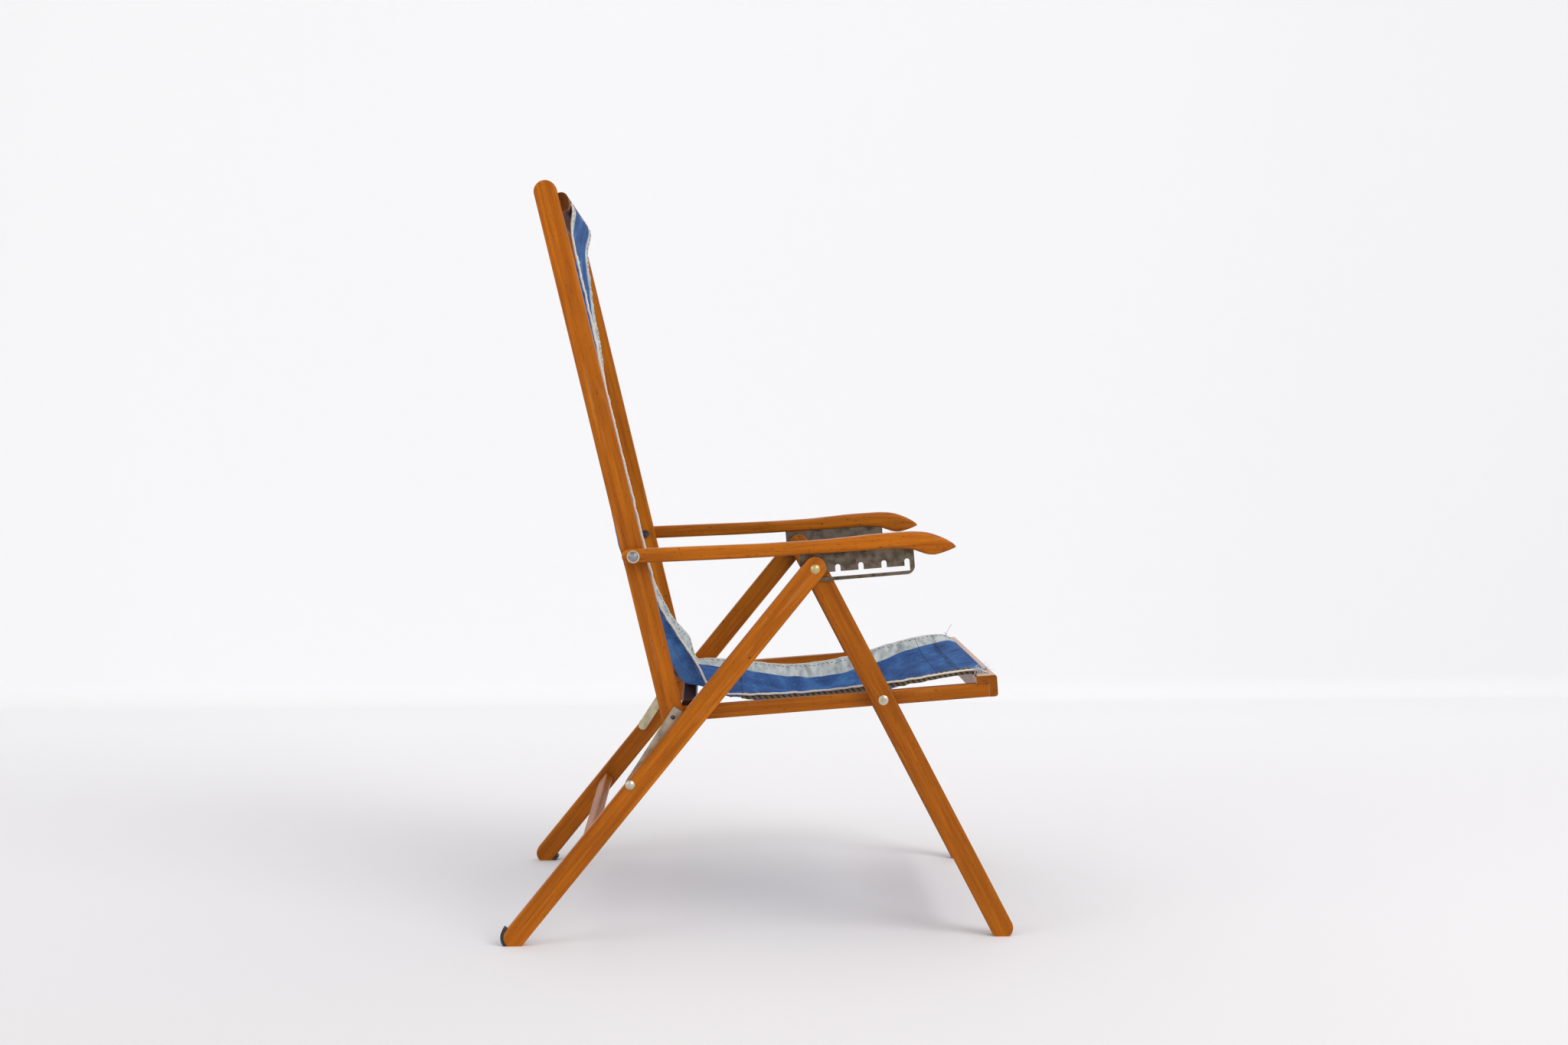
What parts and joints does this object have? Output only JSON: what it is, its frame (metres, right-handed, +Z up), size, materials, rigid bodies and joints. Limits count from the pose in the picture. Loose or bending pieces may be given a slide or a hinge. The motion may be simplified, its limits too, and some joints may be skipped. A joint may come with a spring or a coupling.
{
  "type": "folding chaise longue",
  "caption": "Folding wooden armchair with a slung blue canvas seat and back, crossed legs on link plates, and arms with toothed rack plates that set the recline.",
  "frame": {"origin": "on the floor under the centre of the overall box, with the chair open and its back upright", "axes": "+X to the front of the chair, +Z up, -Y the sitter's right"},
  "size_m": [0.7286, 0.5728, 1.0733],
  "materials": {
    "varnished_beech": "warm varnished beech with fine grain and light worn edges",
    "dark_timber": "darker brown varnished timber",
    "canvas": "blue cotton canvas with pale grey-green side bands",
    "rubber": "black rubber",
    "plated_bolts": "brass-plated domed heads",
    "yellowed_steel": "yellowed zinc-plated steel",
    "worn_steel": "worn grey steel",
    "dark_steel": "dark steel"
  },
  "bodies": {
    "rear_legs": {"right_rear_leg": "varnished_beech", "left_rear_leg": "varnished_beech", "rear_stretcher": "varnished_beech", "right_foot_strip": "rubber", "left_foot_strip": "rubber", "axle_bolts": "plated_bolts", "link_bolts": "plated_bolts"},
    "front_legs": {"right_front_leg": "varnished_beech", "left_front_leg": "varnished_beech", "front_stretcher": "varnished_beech", "axle_nuts": "dark_steel"},
    "seat": {"right_seat_rail": "varnished_beech", "left_seat_rail": "varnished_beech", "front_seat_rail": "varnished_beech", "rear_seat_bar": "dark_timber", "seat_bolts": "plated_bolts", "sling_seat": "canvas"},
    "back_pivots": {"back_pivot_bolts": "dark_steel", "sling_lap": "canvas"},
    "back": {"right_back_stile": "varnished_beech", "left_back_stile": "varnished_beech", "top_crossbar": "dark_timber", "sling_back": "canvas", "right_arm_bolt": "dark_steel", "left_arm_bolt": "dark_steel"},
    "right_strap": {"right_link": "worn_steel", "right_link_rivet": "dark_steel"},
    "right_arm_pivot": {"right_arm_stud": "dark_steel", "right_arm_washer": "plated_bolts"},
    "right_arm_rest": {"right_arm": "varnished_beech", "right_rack_plate": "worn_steel", "right_rack_pins": "dark_steel"},
    "left_strap": {"left_link": "yellowed_steel", "left_link_rivet": "dark_steel"},
    "left_arm_pivot": {"left_arm_stud": "dark_steel", "left_arm_washer": "plated_bolts"},
    "left_arm_rest": {"left_arm": "varnished_beech", "left_rack_plate": "worn_steel", "left_rack_pins": "dark_steel"}
  },
  "joints": [
    {"name": "fold", "type": "hinge", "parent": "rear_legs", "child": "front_legs", "pos_m": [0.08113, 0, 0.53], "axis": [0, 1, 0], "range_deg": [0, 57]},
    {"name": "seat_fold", "type": "hinge", "parent": "front_legs", "child": "seat", "pos_m": [0.17837, 0, 0.34161], "axis": [0, -1, 0], "range_deg": [0, 80.15]},
    {"name": "back_fold", "type": "hinge", "parent": "seat", "child": "back_pivots", "pos_m": [-0.11987, 0, 0.32031], "axis": [0, 1, 0], "range_deg": [0, 73.05], "deforming": ["sling_lap"]},
    {"name": "recline", "type": "hinge", "parent": "back_pivots", "child": "back", "pos_m": [-0.11987, 0, 0.32031], "axis": [0, -1, 0], "range_deg": [0, 36.7]},
    {"name": "right_link_fold", "type": "hinge", "parent": "seat", "child": "right_strap", "pos_m": [-0.11987, 0, 0.32031], "axis": [0, -1, 0], "range_deg": [0, 109.24]},
    {"name": "right_arm_recline", "type": "hinge", "parent": "back_pivots", "child": "right_arm_pivot", "pos_m": [0.20277, 0, -0.20518], "axis": [0, -1, 0], "range_deg": [0, 10.09]},
    {"name": "right_arm_fold", "type": "hinge", "parent": "right_arm_pivot", "child": "right_arm_rest", "pos_m": [-0.17354, 0, 0.5491], "axis": [0, -1, 0], "range_deg": [0, 86.05]},
    {"name": "left_link_fold", "type": "hinge", "parent": "seat", "child": "left_strap", "pos_m": [-0.11987, 0, 0.32031], "axis": [0, -1, 0], "range_deg": [0, 109.24]},
    {"name": "left_arm_recline", "type": "hinge", "parent": "back_pivots", "child": "left_arm_pivot", "pos_m": [0.20277, 0, -0.20518], "axis": [0, -1, 0], "range_deg": [0, 10.09]},
    {"name": "left_arm_fold", "type": "hinge", "parent": "left_arm_pivot", "child": "left_arm_rest", "pos_m": [-0.17354, 0, 0.5491], "axis": [0, -1, 0], "range_deg": [0, 86.05]}
  ],
  "couplings": [
    {"joint": "seat_fold", "follows": "fold", "ratio": 1.4059},
    {"joint": "back_fold", "follows": "fold", "ratio": 1.2813},
    {"joint": "right_link_fold", "follows": "fold", "ratio": 1.9162},
    {"joint": "right_arm_recline", "follows": "recline", "ratio": 0.2744},
    {"joint": "right_arm_fold", "follows": "fold", "ratio": 1.5093},
    {"joint": "left_link_fold", "follows": "fold", "ratio": 1.9162},
    {"joint": "left_arm_recline", "follows": "recline", "ratio": 0.2744},
    {"joint": "left_arm_fold", "follows": "fold", "ratio": 1.5093}
  ]
}
